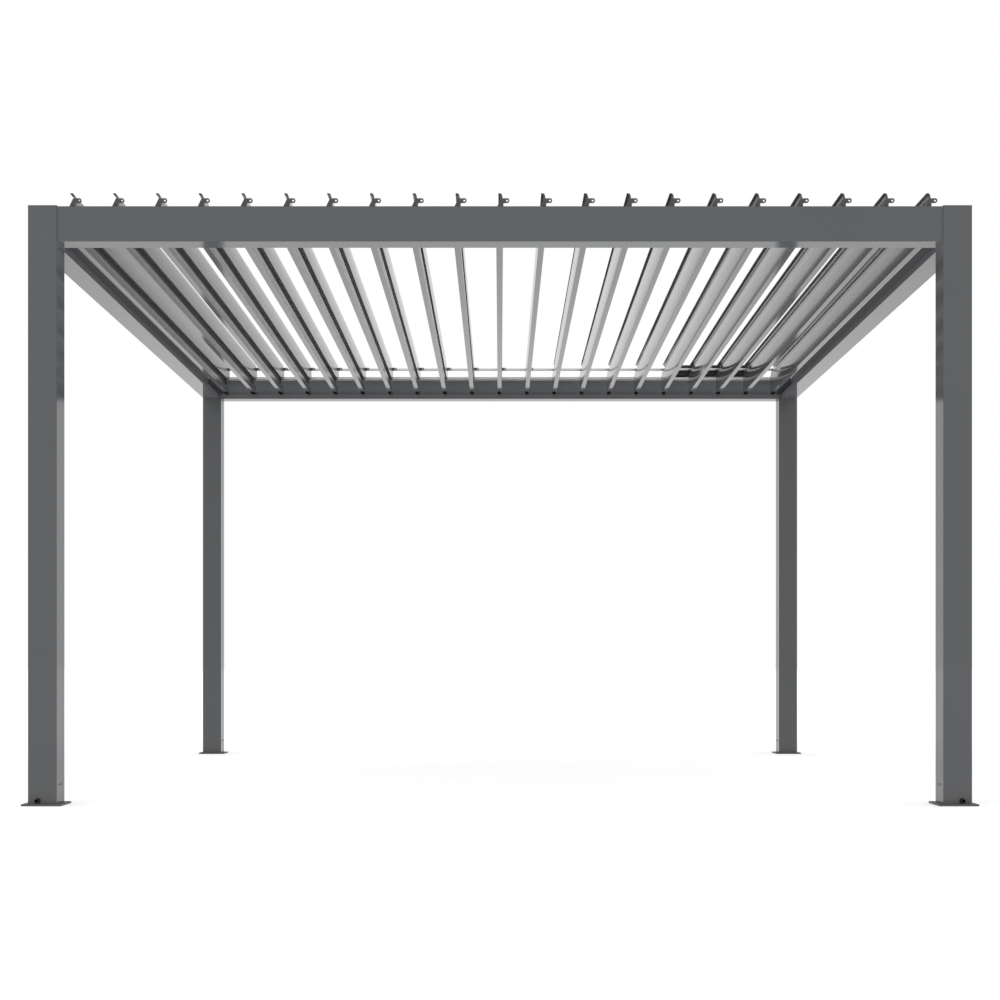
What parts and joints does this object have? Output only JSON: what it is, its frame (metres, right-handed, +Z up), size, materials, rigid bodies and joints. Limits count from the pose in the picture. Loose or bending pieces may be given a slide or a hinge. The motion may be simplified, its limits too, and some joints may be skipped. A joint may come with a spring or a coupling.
{
  "type": "louvered pergola",
  "caption": "Square-post pergola with gutter beams and a roof of linked louvres that turn together on a tie rod.",
  "frame": {"origin": "on the ground, at the middle of the bounding box's underside", "axes": "+X to the right seen from the front, +Y from the front to the back along the louvres, +Z up"},
  "size_m": [3.975, 4.045, 2.581],
  "materials": {
    "frame_coat": "anthracite powder coat, semi-gloss",
    "foot_coat": "anthracite powder coat on steel",
    "drain_plastic": "black moulded plastic",
    "bearing_plastic": "black moulded plastic",
    "tie_rod_metal": "plain satin aluminium",
    "drive_coat": "black housing",
    "louvre_coat": "anthracite powder coat, semi-gloss",
    "end_cap_coat": "dark grey coated die casting"
  },
  "bodies": {
    "frame": {"front_beam": "frame_coat", "back_beam": "frame_coat", "left_beam": "frame_coat", "right_beam": "frame_coat", "post_caps": "frame_coat", "foot_plates": "foot_coat", "drain_spouts": "drain_plastic", "front_bearings": "bearing_plastic", "back_bearings": "bearing_plastic", "drive_housing": "drive_coat", "drive_feet": "drive_coat", "post_front_left": "frame_coat", "post_front_right": "frame_coat", "post_back_left": "frame_coat", "post_back_right": "frame_coat"},
    "tie_rod": {"tie_rod": "tie_rod_metal"},
    "louvre_01": {"louvre_01_blade": "louvre_coat", "louvre_01_end_caps": "end_cap_coat"},
    "louvre_02": {"louvre_02_blade": "louvre_coat", "louvre_02_end_caps": "end_cap_coat"},
    "louvre_03": {"louvre_03_blade": "louvre_coat", "louvre_03_end_caps": "end_cap_coat"},
    "louvre_04": {"louvre_04_blade": "louvre_coat", "louvre_04_end_caps": "end_cap_coat"},
    "louvre_05": {"louvre_05_blade": "louvre_coat", "louvre_05_end_caps": "end_cap_coat"},
    "louvre_06": {"louvre_06_blade": "louvre_coat", "louvre_06_end_caps": "end_cap_coat"},
    "louvre_07": {"louvre_07_blade": "louvre_coat", "louvre_07_end_caps": "end_cap_coat"},
    "louvre_08": {"louvre_08_blade": "louvre_coat", "louvre_08_end_caps": "end_cap_coat"},
    "louvre_09": {"louvre_09_blade": "louvre_coat", "louvre_09_end_caps": "end_cap_coat"},
    "louvre_10": {"louvre_10_blade": "louvre_coat", "louvre_10_end_caps": "end_cap_coat"},
    "louvre_11": {"louvre_11_blade": "louvre_coat", "louvre_11_end_caps": "end_cap_coat"},
    "louvre_12": {"louvre_12_blade": "louvre_coat", "louvre_12_end_caps": "end_cap_coat"},
    "louvre_13": {"louvre_13_blade": "louvre_coat", "louvre_13_end_caps": "end_cap_coat"},
    "louvre_14": {"louvre_14_blade": "louvre_coat", "louvre_14_end_caps": "end_cap_coat"},
    "louvre_15": {"louvre_15_blade": "louvre_coat", "louvre_15_end_caps": "end_cap_coat"},
    "louvre_16": {"louvre_16_blade": "louvre_coat", "louvre_16_end_caps": "end_cap_coat"},
    "louvre_17": {"louvre_17_blade": "louvre_coat", "louvre_17_end_caps": "end_cap_coat"},
    "louvre_18": {"louvre_18_blade": "louvre_coat", "louvre_18_end_caps": "end_cap_coat"},
    "louvre_19": {"louvre_19_blade": "louvre_coat", "louvre_19_end_caps": "end_cap_coat"},
    "louvre_20": {"louvre_20_blade": "louvre_coat", "louvre_20_end_caps": "end_cap_coat"},
    "louvre_21": {"louvre_21_blade": "louvre_coat", "louvre_21_end_caps": "end_cap_coat"}
  },
  "joints": [
    {"name": "louvre_01_turn", "type": "hinge", "parent": "frame", "child": "louvre_01", "pos_m": [-1.807, 0, 2.389], "axis": [0, -1, 0], "range_deg": [0, 45]},
    {"name": "louvre_02_turn", "type": "hinge", "parent": "frame", "child": "louvre_02", "pos_m": [-1.6263, 0, 2.389], "axis": [0, -1, 0], "range_deg": [0, 45]},
    {"name": "louvre_03_turn", "type": "hinge", "parent": "frame", "child": "louvre_03", "pos_m": [-1.4456, 0, 2.389], "axis": [0, -1, 0], "range_deg": [0, 45]},
    {"name": "louvre_04_turn", "type": "hinge", "parent": "frame", "child": "louvre_04", "pos_m": [-1.2649, 0, 2.389], "axis": [0, -1, 0], "range_deg": [0, 45]},
    {"name": "louvre_05_turn", "type": "hinge", "parent": "frame", "child": "louvre_05", "pos_m": [-1.0842, 0, 2.389], "axis": [0, -1, 0], "range_deg": [0, 45]},
    {"name": "louvre_06_turn", "type": "hinge", "parent": "frame", "child": "louvre_06", "pos_m": [-0.9035, 0, 2.389], "axis": [0, -1, 0], "range_deg": [0, 45]},
    {"name": "louvre_07_turn", "type": "hinge", "parent": "frame", "child": "louvre_07", "pos_m": [-0.7228, 0, 2.389], "axis": [0, -1, 0], "range_deg": [0, 45]},
    {"name": "louvre_08_turn", "type": "hinge", "parent": "frame", "child": "louvre_08", "pos_m": [-0.5421, 0, 2.389], "axis": [0, -1, 0], "range_deg": [0, 45]},
    {"name": "louvre_09_turn", "type": "hinge", "parent": "frame", "child": "louvre_09", "pos_m": [-0.3614, 0, 2.389], "axis": [0, -1, 0], "range_deg": [0, 45]},
    {"name": "louvre_10_turn", "type": "hinge", "parent": "frame", "child": "louvre_10", "pos_m": [-0.1807, 0, 2.389], "axis": [0, -1, 0], "range_deg": [0, 45]},
    {"name": "louvre_11_turn", "type": "hinge", "parent": "frame", "child": "louvre_11", "pos_m": [0, 0, 2.389], "axis": [0, -1, 0], "range_deg": [0, 45]},
    {"name": "louvre_12_turn", "type": "hinge", "parent": "frame", "child": "louvre_12", "pos_m": [0.1807, 0, 2.389], "axis": [0, -1, 0], "range_deg": [0, 45]},
    {"name": "louvre_13_turn", "type": "hinge", "parent": "frame", "child": "louvre_13", "pos_m": [0.3614, 0, 2.389], "axis": [0, -1, 0], "range_deg": [0, 45]},
    {"name": "louvre_14_turn", "type": "hinge", "parent": "frame", "child": "louvre_14", "pos_m": [0.5421, 0, 2.389], "axis": [0, -1, 0], "range_deg": [0, 45]},
    {"name": "louvre_15_turn", "type": "hinge", "parent": "frame", "child": "louvre_15", "pos_m": [0.7228, 0, 2.389], "axis": [0, -1, 0], "range_deg": [0, 45]},
    {"name": "louvre_16_turn", "type": "hinge", "parent": "frame", "child": "louvre_16", "pos_m": [0.9035, 0, 2.389], "axis": [0, -1, 0], "range_deg": [0, 45]},
    {"name": "louvre_17_turn", "type": "hinge", "parent": "frame", "child": "louvre_17", "pos_m": [1.0842, 0, 2.389], "axis": [0, -1, 0], "range_deg": [0, 45]},
    {"name": "louvre_18_turn", "type": "hinge", "parent": "frame", "child": "louvre_18", "pos_m": [1.2649, 0, 2.389], "axis": [0, -1, 0], "range_deg": [0, 45]},
    {"name": "louvre_19_turn", "type": "hinge", "parent": "frame", "child": "louvre_19", "pos_m": [1.4456, 0, 2.389], "axis": [0, -1, 0], "range_deg": [0, 45]},
    {"name": "louvre_20_turn", "type": "hinge", "parent": "frame", "child": "louvre_20", "pos_m": [1.6263, 0, 2.389], "axis": [0, -1, 0], "range_deg": [0, 45]},
    {"name": "louvre_21_turn", "type": "hinge", "parent": "frame", "child": "louvre_21", "pos_m": [1.807, 0, 2.389], "axis": [0, -1, 0], "range_deg": [0, 45]},
    {"name": "tie_rod_pivot", "type": "hinge", "parent": "louvre_11", "child": "tie_rod", "pos_m": [0.03, 1.914, 2.5475], "axis": [0, -1, 0], "range_deg": [-45, 0]}
  ],
  "couplings": [
    {"joint": "louvre_01_turn", "follows": "louvre_11_turn", "ratio": 1},
    {"joint": "louvre_02_turn", "follows": "louvre_11_turn", "ratio": 1},
    {"joint": "louvre_03_turn", "follows": "louvre_11_turn", "ratio": 1},
    {"joint": "louvre_04_turn", "follows": "louvre_11_turn", "ratio": 1},
    {"joint": "louvre_05_turn", "follows": "louvre_11_turn", "ratio": 1},
    {"joint": "louvre_06_turn", "follows": "louvre_11_turn", "ratio": 1},
    {"joint": "louvre_07_turn", "follows": "louvre_11_turn", "ratio": 1},
    {"joint": "louvre_08_turn", "follows": "louvre_11_turn", "ratio": 1},
    {"joint": "louvre_09_turn", "follows": "louvre_11_turn", "ratio": 1},
    {"joint": "louvre_10_turn", "follows": "louvre_11_turn", "ratio": 1},
    {"joint": "louvre_12_turn", "follows": "louvre_11_turn", "ratio": 1},
    {"joint": "louvre_13_turn", "follows": "louvre_11_turn", "ratio": 1},
    {"joint": "louvre_14_turn", "follows": "louvre_11_turn", "ratio": 1},
    {"joint": "louvre_15_turn", "follows": "louvre_11_turn", "ratio": 1},
    {"joint": "louvre_16_turn", "follows": "louvre_11_turn", "ratio": 1},
    {"joint": "louvre_17_turn", "follows": "louvre_11_turn", "ratio": 1},
    {"joint": "louvre_18_turn", "follows": "louvre_11_turn", "ratio": 1},
    {"joint": "louvre_19_turn", "follows": "louvre_11_turn", "ratio": 1},
    {"joint": "louvre_20_turn", "follows": "louvre_11_turn", "ratio": 1},
    {"joint": "louvre_21_turn", "follows": "louvre_11_turn", "ratio": 1},
    {"joint": "tie_rod_pivot", "follows": "louvre_11_turn", "ratio": -1}
  ]
}
